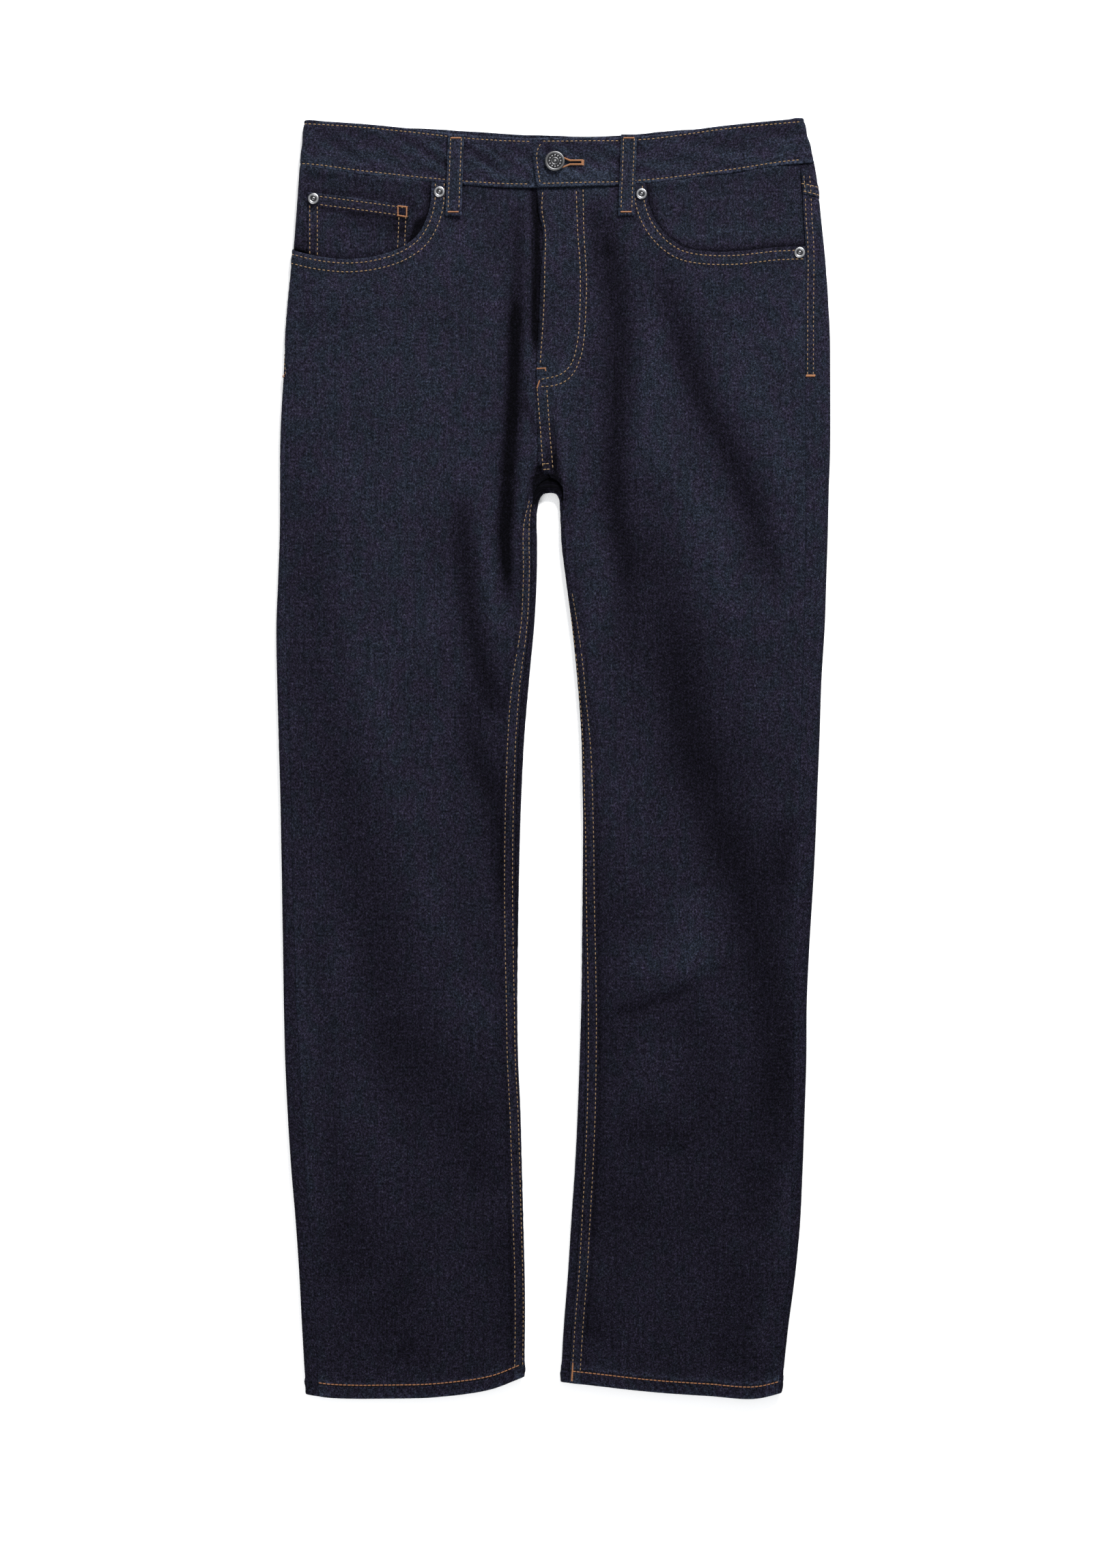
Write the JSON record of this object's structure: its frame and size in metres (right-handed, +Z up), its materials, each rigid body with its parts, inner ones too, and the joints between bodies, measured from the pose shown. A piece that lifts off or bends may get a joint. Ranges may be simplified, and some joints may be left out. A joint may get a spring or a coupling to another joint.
{
  "type": "straight leg jeans",
  "caption": "Straight leg jeans laid flat, front up: folded denim legs, curved front pockets with a coin pocket, zip fly, buttoned waistband with belt loops, and back pockets underneath.",
  "frame": {"origin": "centre of the garment's bounding box, on the surface that it lies on", "axes": "+Z up from the surface, out of the front; +Y along the legs from the hems to the waist; +X to the wearer's left"},
  "size_m": [0.4619, 1.0673, 0.0133],
  "materials": {
    "denim": "dark indigo twill",
    "denim_band": "dark indigo twill",
    "zip_tape": "woven tape",
    "nickel": "bright nickel plate",
    "antique_nickel": "dull aged nickel plate"
  },
  "bodies": {
    "root": {"front_right": "denim", "back_right": "denim", "yoke_right": "denim", "pocket_facing_right": "denim", "front_left": "denim", "back_left": "denim", "yoke_left": "denim", "pocket_facing_left": "denim", "coin_pocket": "denim", "back_pocket_right": "denim", "back_pocket_left": "denim", "waistband": "denim_band", "belt_loop_front_right": "denim_band", "belt_loop_front_left": "denim_band", "belt_loop_back_right": "denim_band", "belt_loop_back_left": "denim_band", "belt_loop_centre_back": "denim_band", "fly_zip": "zip_tape", "rivet_coin_pocket": "nickel", "rivet_pocket_right": "nickel", "rivet_pocket_left": "nickel", "rivet_pocket_left_side": "nickel", "waist_button": "antique_nickel"}
  },
  "joints": []
}
